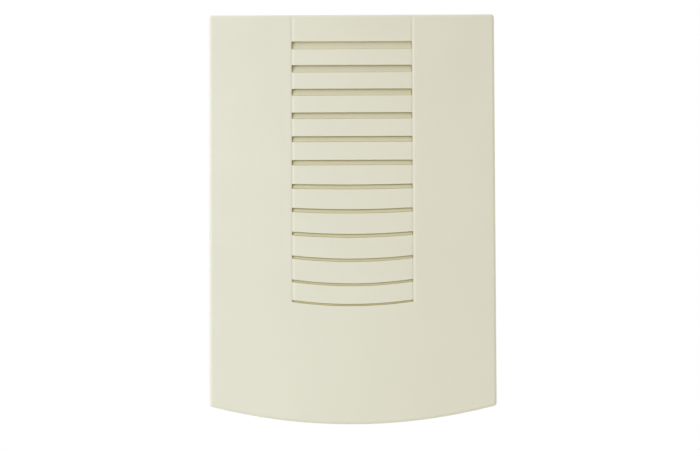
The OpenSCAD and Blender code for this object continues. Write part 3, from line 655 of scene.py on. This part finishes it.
class CoverForm:
    """The moulded cover as one closed skin: a mapped grid for the face and another for its back,
    joined round the slots by their walls and round the outline by rings."""

    BOW_CELLS = 14
    GROOVE_CELLS = 12
    PANEL_CELLS = 4
    ROUND_STEPS = 4
    EDGE_STEPS = 7
    CORNER_STEPS = 7
    RIM_STEPS = 3
    LOWER_ROWS = 3
    PEG_SIDES = 24
    DOME_STEPS = 6
    DOME_WIDTH = 0.8
    DOME_HEIGHT = 0.7

    def __init__(self, sizes):
        self.s = sizes
        self.form = Form()
        self.half = sizes.grille_width / 2
        self.ease = sizes.end_ease
        # Distance to the extra rows and columns that keep an eased edge's shading off the flats
        self.support = sizes.slat_reach / 4
        self.bow_radius = ((sizes.width / 2) ** 2 + sizes.bow_drop**2) / (2 * sizes.bow_drop)
        self.bow_middle = self.bow_radius - sizes.height / 2
        self.rim = sizes.depth - sizes.rim_gap
        self.inner_radius = sizes.edge_radius / 2
        self.outer_inset = sizes.corner_radius
        self.inner_inset = sizes.side_wall + sizes.draft + self.inner_radius + self.support
        self.pocket_top = self.slot_top(0) + sizes.pocket_reach
        last = sizes.slot_count - 1
        self.pocket_bottom = self.slot_bottom(last) - self.slot_sag(last) - sizes.pocket_reach
        self.slots = []
        self.rows = self.face_rows()

    def at(self, x, up, depth):
        """A point by its place on the face and its depth behind the face's plane."""
        return Vector((x, depth - self.s.depth, up))

    def slot_top(self, i):
        """Height of a slot's upper edge at its ends."""
        last = self.s.slot_count - 1
        drop = self.s.first_slot + self.s.slot_pitch * min(i, last - 1)
        return self.s.height / 2 - drop - (self.s.last_pitch if i == last else 0)

    def slot_bottom(self, i):
        """Height of a slot's lower edge at its ends."""
        return self.slot_top(i) - self.s.slot_height + self.s.slot_step * i

    def slot_sag(self, i):
        """How far a slot bows down in the middle."""
        return self.s.sag_step * max(0, min(i, self.s.slot_count - 2) - self.s.straight_slots + 1)

    def face_rows(self):
        """The rows from the top edge to the bowed one; slots holds each slot's upper row."""
        reach, fall, lip = self.s.slat_reach, self.s.slat_fall, self.s.lip_radius
        rows = [Row(self.s.height / 2), Row(self.pocket_top + lip), Row(self.pocket_top)]
        for i in range(self.s.slot_count):
            top, bottom, sag = self.slot_top(i), self.slot_bottom(i), self.slot_sag(i)
            last = i == self.s.slot_count - 1
            rows.append(Row(top + lip + self.support, sag))
            rows += [Row(up, sag, deep) for up, deep in arc(top, 0, lip, lip, self.ROUND_STEPS)]
            self.slots.append(len(rows) - 1)
            for up, deep in reversed(arc(bottom, 0, -reach, fall, self.ROUND_STEPS)):
                rows.append(Row(up, sag, deep, deep / fall if last else 1.0))
            rows.append(Row(bottom - reach - self.support, sag, groove=0.0 if last else 1.0))
        end = Row(self.pocket_bottom - lip, groove=0.0)
        rows += [Row(self.pocket_bottom, groove=0.0), end]
        return rows + [end._replace(bow=k / self.LOWER_ROWS) for k in range(1, self.LOWER_ROWS + 1)]

    def columns(self, inset):
        """Distances across the face, and the numbers of the two columns where the slots end."""
        right = spaced(0, self.half - self.ease - self.support, self.BOW_CELLS)
        right += spaced(self.half - self.ease, self.half + self.ease, self.GROOVE_CELLS)
        right += spaced(self.half + self.ease + self.support, self.s.pocket_half, 2)
        right += spaced(self.s.pocket_half + self.s.lip_radius, self.s.width / 2 - inset, self.PANEL_CELLS)
        middle = len(right) - 1
        reach = self.BOW_CELLS + 1 + self.GROOVE_CELLS // 2
        return [-x for x in reversed(right[1:])] + right, middle - reach, middle + reach

    def row_height(self, row, x, inset):
        """Height of a row at a distance across the face."""
        side = min(abs(x) / self.half, 1.0)
        level = min(row.up, self.s.height / 2 - inset) - row.sag * (1 - side * side)
        edge = self.bow_middle - math.sqrt((self.bow_radius - inset) ** 2 - x * x)
        return level + (edge - level) * row.bow

    def face_fall(self, row, x):
        """How deep the face lies behind its plane: in a groove and over a slat's rounded edge."""
        off = (abs(x) - self.half) / self.ease
        across = (abs(x - self.s.groove_shift) - self.half) * 2 / self.s.groove_width
        groove = self.s.groove_depth * row.groove * max(1 - across**4, 0) ** 2
        return math.hypot(groove, row.fall * smooth(-off))

    def back_fall(self, row, x):
        """How deep the back of the face lies: less in the pocket that takes the louvre screen."""
        play = self.s.lip_radius / 2
        level = self.pocket_bottom - play < row.up < self.pocket_top + play
        inside = level and abs(x) < self.s.pocket_half + play
        return self.s.slat_wall if inside else self.s.front_wall

    def grid(self, inset, fall):
        """Numbers of a grid's points, row by row; fall tells how deep each lies."""
        columns, _, _ = self.columns(inset)
        return [
            self.form.add(self.at(x, self.row_height(row, x, inset), fall(row, x)) for x in columns)
            for row in self.rows
        ]

    def fill(self, grid):
        """Faces of a grid, apart from the slots."""
        _, left, right = self.columns(self.outer_inset)
        for r in range(len(grid) - 1):
            for c in range(len(grid[0]) - 1):
                if r in self.slots and left <= c < right:
                    continue
                self.form.faces.append([grid[r][c], grid[r][c + 1], grid[r + 1][c + 1], grid[r + 1][c]])

    def slot_loop(self, grid, row):
        """The points round a slot."""
        _, left, right = self.columns(self.outer_inset)
        return grid[row][left : right + 1] + grid[row + 1][right : left - 1 : -1]

    def rim_walk(self):
        """Once round the outline: each point's row and column, and the direction to its outside."""
        columns, _, _ = self.columns(self.outer_inset)
        last_row, last_column = len(self.rows) - 1, len(columns) - 1
        edge = [self.row_height(self.rows[-1], x, self.outer_inset) for x in columns]
        low = [math.atan2(up - self.bow_middle, x) for x, up in zip(columns, edge)]
        up, right, left = math.pi / 2, 0.0, -math.pi
        walk = []

        def corner(r, c, start, end):
            walk.extend((r, c, a) for a in spaced(start, end, self.CORNER_STEPS)[1:-1])

        walk += [(0, c, up) for c in range(last_column + 1)]
        corner(0, last_column, up, right)
        walk += [(r, last_column, right) for r in range(last_row + 1)]
        corner(last_row, last_column, right, low[-1])
        walk += [(last_row, c, low[c]) for c in range(last_column, -1, -1)]
        corner(last_row, 0, low[0], left)
        walk += [(r, 0, left) for r in range(last_row, -1, -1)]
        corner(0, 0, left, up - 2 * math.pi)
        return walk

    def ring(self, grid, walk, out, depth):
        """A ring outside a grid's edge, no shallower than the edge itself."""
        points = []
        for r, c, angle in walk:
            base = self.form.points[grid[r][c]]
            level = max(base.y, depth - self.s.depth)
            points.append(Vector((base.x + out * math.cos(angle), level, base.z + out * math.sin(angle))))
        return self.form.add(points)

    def outer_rings(self):
        """(inset, depth) of the rings over the front edge, down the side and round the rim's edge."""
        s = self.s
        front = arc(s.draft, 0, s.edge_radius, s.edge_radius, self.EDGE_STEPS)
        return front + arc(0, self.rim, s.rim_radius, -s.rim_radius, self.RIM_STEPS)[::-1]

    def inner_rings(self):
        """(inset, depth) of the rings from the rim's inner edge up to the back of the face."""
        s = self.s
        turn = arc(s.side_wall, self.rim, -s.rim_radius, -s.rim_radius, self.RIM_STEPS)
        radius = self.inner_radius
        return turn + arc(s.side_wall + s.draft, s.front_wall, radius, radius, self.RIM_STEPS)[::-1]

    def skin(self):
        """The closed shell with its slots."""
        face = self.grid(self.outer_inset, self.face_fall)
        back = self.grid(self.inner_inset, self.back_fall)
        self.fill(face)
        self.fill(back)
        for row in self.slots:
            front, rear = self.slot_loop(face, row), self.slot_loop(back, row)
            self.form.join(front, rear)
            # The slots' walls get painted shade
            self.form.walls.update(front, rear)
        walk = self.rim_walk()
        chain = [[face[r][c] for r, c, _ in walk]]
        chain += [self.ring(face, walk, self.outer_inset - i, d) for i, d in self.outer_rings()]
        chain += [self.ring(back, walk, self.inner_inset - i, d) for i, d in self.inner_rings()]
        chain.append([back[r][c] for r, c, _ in walk])
        for a, b in zip(chain, chain[1:]):
            self.form.join(a, b)

    def pegs(self):
        """The pegs that hold the louvre screen, each with its end staked over into a low dome."""
        s = self.s
        across = SCREEN_HIGH.x - s.rail_width / 2
        top, bottom = self.slot_bottom(0), self.slot_bottom(s.slot_count - 1)
        reach = SCREEN_HIGH.y - SCREEN_LOW.y
        stem, head = s.peg_width / 2, s.peg_head / 2
        profile = [(stem, -s.slat_wall / 3), (stem, reach), (head, reach)]
        width, height = self.DOME_WIDTH * head, self.DOME_HEIGHT * s.peg_crown
        profile += arc(head, reach + s.peg_crown, -width, -height, self.DOME_STEPS)[::-1]
        for up in spaced(top, bottom, 2):
            for side in (-1, 1):
                base = Vector((side * across, SCREEN_LOW.y, up))
                self.form.loft(turned(base, INTO_WALL, profile, self.PEG_SIDES))

    def stops(self):
        """The gussets on the side walls that stop on the base plate's rim."""
        s = self.s
        wall = s.width / 2 - s.side_wall / 2
        trim, half = s.rim_radius / 2, s.stop_width / 2
        layers = [(trim, -half), (0, trim - half), (0, half - trim), (trim, half)]

        def outline(inset):
            reach = s.stop_reach - inset
            foot = s.stop_foot + inset
            tip = s.stop_foot + s.stop_height - inset
            return [(0, foot), (reach, foot), (reach, tip - s.stop_height / 2), (0, tip)]

        for side in (-1, 1):
            for up in (s.stop_drop - s.height / 2, s.height / 2 - s.stop_drop):
                self.form.loft(
                    [Vector((side * (wall - x), -out, up + level)) for x, out in outline(inset)]
                    for inset, level in layers
                )


class CHIME_OT_cover(bpy.types.Operator):
    """Moulds the cover with its rounded edges, grooves and graded slots"""

    bl_idname = "chime.cover"
    bl_label = "Cover"

    def execute(self, context):
        """Builds the cover in the place of its CAD node."""
        build = CoverForm(context.scene.chime_cover)
        build.skin()
        build.pegs()
        build.stops()
        piece = build.form.make("moulded_cover", "cream_plastic")
        settle(piece, "cover", "cover_plastic", "front_cover")
        return {"FINISHED"}


class CHIME_OT_louvre_screen(bpy.types.Operator):
    """Finishes the screen that closes the slots from behind"""

    bl_idname = "chime.louvre_screen"
    bl_label = "Louvre screen"

    def execute(self, context):
        """Dresses the screen in a deeper shade of the cover's plastic: painted shade for the slots'
        floors, deepening further towards its foot.
        """
        dress("screen_plastic", "louvre_screen", bevel=context.scene.chime_cover.louvre_edge)
        return {"FINISHED"}


class CHIME_OT_base_plate(bpy.types.Operator):
    """Finishes the moulded base plate"""

    bl_idname = "chime.base_plate"
    bl_label = "Base plate"

    def execute(self, context):
        """Dresses the base plate."""
        dress("ivory_plastic", "base_plate", bevel=context.scene.chime_mechanism.moulded_edge)
        return {"FINISHED"}


class CHIME_OT_solenoid(bpy.types.Operator):
    """Finishes the solenoid and wraps its coil in tape"""

    bl_idname = "chime.solenoid"
    bl_label = "Solenoid"

    LAP_SIDES = 96
    LAP_START = math.pi / 3
    LAP_SHARP = math.radians(30)

    def execute(self, context):
        """Dresses the solenoid's pieces and builds the tape."""
        sizes = context.scene.chime_mechanism
        dress("zinc_plate", "solenoid_yoke", "yoke_screws", bevel=sizes.moulded_edge)
        dress("zinc_plate", "coil_pins")
        dress("natural_nylon", "coil_bobbin", bevel=sizes.moulded_edge)
        dress("enamelled_wire", "coil_winding")
        dress("turned_brass", "guide_tube")
        self.tape(sizes)
        return {"FINISHED"}

    def tape(self, sizes):
        """Turns of tape side by side, each lapping over the one before."""
        middle = (TAPE_LOW + TAPE_HIGH) / 2
        inner = (WINDING_HIGH.z - WINDING_LOW.z) / 2
        outer = (TAPE_HIGH.z - TAPE_LOW.z) / 2
        step, lap = sizes.tape_step, sizes.tape_lap
        profile = [(inner, TAPE_HIGH.x), (inner, TAPE_LOW.x)]
        profile += [(outer - 2 * step, TAPE_LOW.x), (outer - step, TAPE_LOW.x + step)]
        edge = TAPE_LOW.x + sizes.tape_width
        while edge + lap < TAPE_HIGH.x:
            profile += [(outer - step, edge - lap), (outer, edge - lap + step)]
            profile += [(outer, edge), (outer - step, edge + step)]
            edge += sizes.tape_width - lap
        profile += [(outer - step, TAPE_HIGH.x - step), (outer - 2 * step, TAPE_HIGH.x)]
        rings = []
        for radius, x in profile:
            lift = step if radius > inner else 0
            rings.append(self.wound_ring(middle, radius, x, lift))
        form = Form()
        form.loft(rings, hoop=True)
        piece = form.make("coil_wrap", "amber_film", self.LAP_SHARP)
        settle(piece, "base", "coil_tape", "coil_tape")

    def wound_ring(self, middle, radius, x, lift):
        """A ring whose end lies over its start."""
        points = []
        for k in range(self.LAP_SIDES):
            angle = self.LAP_START + 2 * math.pi * k / self.LAP_SIDES
            reach = radius - lift * (1 - k / (self.LAP_SIDES - 1))
            across = Vector((0, math.sin(angle), math.cos(angle)))
            points.append(Vector((x, middle.y, middle.z)) + reach * across)
        return points


class CHIME_OT_plunger(bpy.types.Operator):
    """Finishes the plunger and its two striker tips"""

    bl_idname = "chime.plunger"
    bl_label = "Plunger"

    def execute(self, context):
        """Dresses the plunger's pieces."""
        edge = context.scene.chime_mechanism.tip_edge
        dress("core_steel", "plunger_core")
        dress("natural_nylon", "striker_tip_left", "striker_tip_right", bevel=edge)
        return {"FINISHED"}


class CHIME_OT_return_spring(bpy.types.Operator):
    """Winds the return spring between the yoke and the plunger's collar"""

    bl_idname = "chime.return_spring"
    bl_label = "Return spring"

    TURN_STEPS = 32
    WIRE_SIDES = 12
    # Pitch of the closed turns in wire diameters, and turns over which they open
    CLOSED_PITCH = 1.06
    OPENING_TURNS = 0.5

    def execute(self, context):
        """Builds the spring in the place of its CAD node."""
        sizes = context.scene.chime_mechanism
        wire = sizes.spring_wire
        middle = (SPRING_LOW + SPRING_HIGH) / 2
        radius = (SPRING_HIGH.z - SPRING_LOW.z - wire) / 2
        start = SPRING_HIGH.x - wire / 2
        path = []
        for turn, along in self.pitch(sizes, SPRING_HIGH.x - SPRING_LOW.x - wire):
            angle = 2 * math.pi * turn
            across = Vector((0, -math.sin(angle), math.cos(angle)))
            path.append(Vector((start - along, middle.y, middle.z)) + radius * across)
        form = Form()
        form.loft(tube_rings(path, wire / 2, self.WIRE_SIDES, UP))
        piece = form.make("return_spring_wire", "drawn_wire")
        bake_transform(piece)
        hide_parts("return_spring")
        return {"FINISHED"}

    def pitch(self, sizes, reach):
        """(turn, distance along) pairs: close turns at both ends and even ones between."""
        count = round(sizes.spring_turns * self.TURN_STEPS)
        step = sizes.spring_turns / count
        shut = sizes.spring_wire * self.CLOSED_PITCH
        ease = []
        for k in range(count):
            turn = (k + 0.5) * step
            opened = min(turn, sizes.spring_turns - turn) - sizes.closed_turns
            ease.append(smooth(opened / self.OPENING_TURNS))
        rise = (reach - shut * sizes.spring_turns) / (sum(ease) * step)
        along = 0.0
        yield 0.0, along
        for k, open_share in enumerate(ease):
            along += (shut + rise * open_share) * step
            yield (k + 1) * step, along


class CHIME_OT_tone_plates(bpy.types.Operator):
    """Finishes the tone plates and what hangs them"""

    bl_idname = "chime.tone_plates"
    bl_label = "Tone plates"

    def execute(self, context):
        """Dresses the plates, grommets, washers and screws."""
        sizes = context.scene.chime_mechanism
        dress("plate_steel", "tone_plate_low", "tone_plate_high", bevel=sizes.plate_edge)
        dress("soft_rubber", "plate_grommets", bevel=sizes.moulded_edge)
        dress("zinc_plate", "plate_washers", "plate_screws", bevel=sizes.hanger_edge)
        return {"FINISHED"}


class CHIME_OT_terminals(bpy.types.Operator):
    """Finishes the terminal block"""

    bl_idname = "chime.terminals"
    bl_label = "Terminals"

    def execute(self, context):
        """Dresses the block, its clamps and its screws."""
        sizes = context.scene.chime_mechanism
        dress("grey_plastic", "terminal_block", bevel=sizes.moulded_edge)
        dress("turned_brass", "terminal_clamps", bevel=sizes.terminal_edge)
        dress("zinc_plate", "terminal_screws", "block_screw", bevel=sizes.terminal_edge)
        return {"FINISHED"}


class CHIME_OT_leads(bpy.types.Operator):
    """Runs the coil's two leads from their pins to the terminals"""

    bl_idname = "chime.leads"
    bl_label = "Leads"

    STEPS = 40
    SIDES = 20
    CORE_SIDES = 12
    # (radius, distance along) of the soldered joint, in radii of the lead
    JOINT = ((0.45, 0), (0.8, 0.25), (1.0, 0.8), (0.95, 1.4), (0.62, 2.1), (0.46, 2.6))
    # Shares of the radius at the insulation's rounded ends, and how far they stand out
    END_SHRINK = (0.72, 0.92)
    END_REACH = 0.12

    def execute(self, context):
        """Builds each lead's insulation, its bare ends and its soldered joint."""
        sizes = context.scene.chime_mechanism
        radius = sizes.lead_width / 2
        for side, name, shade in ((-1, "left", "black"), (1, "right", "red")):
            node = "coil_lead_" + name
            low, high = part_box(node)
            path = self.route(sizes, side, low, high)
            reach = (path[0] - path[-1]).length
            bare = max(1, round(self.STEPS * sizes.bare_end / reach))
            cover = Form()
            cover.loft(self.rounded(path[bare:-bare], radius))
            piece = cover.make(node + "_insulation", name + "_insulation")
            settle(piece, "base", "lead_" + shade, node)
            core = Form()
            core.loft(tube_rings(path, sizes.lead_core / 2, self.CORE_SIDES, RIGHT))
            joint = [(out * radius, along * radius) for out, along in self.JOINT]
            core.loft(turned(path[0], path[bare] - path[0], joint, self.SIDES))
            tinned = core.make(node + "_strands", "bright_tin")
            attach(tinned, "base")
        return {"FINISHED"}

    def route(self, sizes, side, low, high):
        """A smooth curve that leaves the pin and enters the terminal straight down."""
        radius = sizes.lead_width / 2
        far, near = (high.x, low.x) if side > 0 else (low.x, high.x)
        start = Vector((far - side * radius, low.y + radius, high.z))
        end = Vector((near + side * radius, high.y - radius, low.z))
        pull = Vector((0, 0, sizes.lead_pull))
        corners = (start, start - pull, end + pull, end)
        path = []
        for t in spaced(0, 1, self.STEPS):
            weights = ((1 - t) ** 3, 3 * t * (1 - t) ** 2, 3 * t * t * (1 - t), t**3)
            path.append(sum((w * c for w, c in zip(weights, corners)), Vector()))
        return path

    def rounded(self, path, radius):
        """A tube with softly rounded ends."""
        rings = tube_rings(path, radius, self.SIDES, RIGHT)
        first = self.end(path[0], path[0] - path[1], rings[0], radius)
        last = self.end(path[-1], path[-1] - path[-2], rings[-1], radius)
        return first + rings + last[::-1]

    def end(self, middle, out, ring, radius):
        """The rings that close a tube's end, the outermost first."""
        rings = [[middle + (p - middle) * k for p in ring] for k in self.END_SHRINK]
        rings[0] = [p + out.normalized() * radius * self.END_REACH for p in rings[0]]
        return rings


class CHIME_OT_stage(bpy.types.Operator):
    """Sets up the camera, the lamps, the white surround and the floor"""

    bl_idname = "chime.stage"
    bl_label = "Stage"

    # Each lamp's name, place, width and height, and whether it is near, with a narrowed beam
    LAMPS = (
        ("top", (-0.10, -0.30, 0.90), (0.60, 0.40), False),
        ("key", (-0.36, -0.80, 0.62), (0.60, 0.60), False),
        ("side", (-0.44, -0.40, 0.07), (0.25, 0.40), True),
        ("rim", (0.36, -0.02, -0.02), (0.40, 0.50), True),
    )
    # Half the span of directions in which the room's light goes over into the wall's
    TURNOVER = 0.5
    FLOOR_SIDES = 64
    FLOOR_RINGS = 4

    def execute(self, context):
        """Builds the stage."""
        settings = context.scene.chime_stage
        context.scene.view_settings.view_transform = "Standard"
        self.camera(context, settings)
        self.surround(context, settings)
        for name, place, size, near in self.LAMPS:
            lamp = self.lamp(name + "_lamp", place, size)
            lamp.energy = getattr(settings, name + "_watts")
            lamp.color = settings.lamp_light
            if near:
                lamp.spread = settings.spread
        self.floor(settings)
        return {"FINISHED"}

    def camera(self, context, settings):
        """A long lens in front of the face, a touch low and rolled as the picture is."""
        data = bpy.data.cameras.new("camera")
        data.sensor_width = 36.0
        data.lens = data.sensor_width * settings.camera_distance / settings.frame_width
        camera = bpy.data.objects.new("camera", data)
        aim = Vector((settings.aim_right, CAD_BOX[0].y, settings.aim_up))
        rise = settings.camera_rise
        back = Vector((0, -math.cos(rise), math.sin(rise)))
        camera.location = aim + back * settings.camera_distance
        camera.rotation_mode = "QUATERNION"
        roll = Quaternion((0, 0, 1), settings.camera_roll)
        camera.rotation_quaternion = (-back).to_track_quat("-Z", "Y") @ roll
        context.scene.collection.objects.link(camera)
        context.scene.camera = camera

    def surround(self, context, settings):
        """White where the camera or a reflection looks; elsewhere light that is brighter from behind."""
        world = bpy.data.worlds.new("surround")
        context.scene.world = world
        world.use_nodes = True
        tree = world.node_tree
        tree.nodes.clear()

        def glow(colour, strength):
            node = add_node(tree, "Background", Color=(*colour, 1), Strength=strength)
            return node.outputs["Background"]

        def either(first, second):
            node = add_node(tree, "Math")
            node.operation = "MAXIMUM"
            tree.links.new(first, node.inputs[0])
            tree.links.new(second, node.inputs[1])
            return node.outputs["Value"]

        rays = add_node(tree, "LightPath").outputs
        looks = either(either(rays["Is Camera Ray"], rays["Is Glossy Ray"]), rays["Is Transmission Ray"])
        around = add_node(tree, "TexCoord").outputs["Generated"]
        facing = add_node(tree, "SeparateXYZ", Vector=around).outputs["Y"]
        behind = add_node(tree, "MapRange", Value=facing, From_Min=-self.TURNOVER, From_Max=self.TURNOVER)
        behind.interpolation_type = "SMOOTHSTEP"
        room = glow(settings.front_tint, settings.front_light)
        wall = glow(settings.back_tint, settings.back_light)
        light = mixed(tree, behind.outputs["Result"], room, wall)
        add_node(tree, "OutputWorld", Surface=mixed(tree, looks, light, glow((1, 1, 1), 1)))

    def lamp(self, name, place, size):
        """A soft rectangular lamp aimed at the middle of the face."""
        data = bpy.data.lights.new(name, "AREA")
        data.shape = "RECTANGLE"
        data.size, data.size_y = size
        lamp = bpy.data.objects.new(name, data)
        lamp.location = place
        aim = Vector((0, CAD_BOX[0].y, 0))
        lamp.rotation_mode = "QUATERNION"
        lamp.rotation_quaternion = (aim - lamp.location).to_track_quat("-Z", "Y")
        bpy.context.scene.collection.objects.link(lamp)
        return data

    def floor(self, settings):
        """A round floor that fades into the white surround."""
        form = Form()
        rings = [
            form.add(circle(Vector(), UP, radius, self.FLOOR_SIDES))
            for radius in spaced(0, settings.floor_radius, self.FLOOR_RINGS)[1:]
        ]
        form.faces.append(rings[0])
        for a, b in zip(rings, rings[1:]):
            form.join(a, b)
        floor = form.make("floor", "pale_floor")
        floor.location = (0, CAD_BOX[0].y / 2, -settings.floor_drop)
        floor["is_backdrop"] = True


class CHIME_PT_panel(bpy.types.Panel):
    """Lists the pieces that can be built"""

    bl_idname = "CHIME_PT_panel"
    bl_label = "Doorbell chime box"
    bl_space_type = "VIEW_3D"
    bl_region_type = "UI"
    bl_category = "Chime"

    def draw(self, context):
        """One button for each piece or group of pieces."""
        for operator in OPERATORS:
            self.layout.operator(operator.bl_idname)


GROUPS = {
    "chime_cover": CoverSizes,
    "chime_mechanism": MechanismSizes,
    "chime_colours": FinishColours,
    "chime_stage": StageSettings,
}
# In the order of building
OPERATORS = (
    CHIME_OT_stage,
    CHIME_OT_cover,
    CHIME_OT_louvre_screen,
    CHIME_OT_base_plate,
    CHIME_OT_solenoid,
    CHIME_OT_plunger,
    CHIME_OT_return_spring,
    CHIME_OT_tone_plates,
    CHIME_OT_terminals,
    CHIME_OT_leads,
)
CLASSES = (*GROUPS.values(), *OPERATORS, CHIME_PT_panel)


def register():
    """Registers the classes and hangs the properties on the scene."""
    for each in CLASSES:
        bpy.utils.register_class(each)
    for name, group in GROUPS.items():
        setattr(bpy.types.Scene, name, PointerProperty(type=group))


def unregister():
    """Takes the properties off the scene and unregisters the classes."""
    for name in GROUPS:
        delattr(bpy.types.Scene, name)
    for each in reversed(CLASSES):
        bpy.utils.unregister_class(each)


def main():
    """Builds everything in order."""
    register()
    bpy.ops.chime.stage()
    bpy.ops.chime.cover()
    bpy.ops.chime.louvre_screen()
    bpy.ops.chime.base_plate()
    bpy.ops.chime.solenoid()
    bpy.ops.chime.plunger()
    bpy.ops.chime.return_spring()
    bpy.ops.chime.tone_plates()
    bpy.ops.chime.terminals()
    bpy.ops.chime.leads()
    boxes = {"cad": CAD_BOX, "visual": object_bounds()}
    {name: [list(corner) for corner in box] for name, box in boxes.items()}


if __name__ == "__main__":
    main()
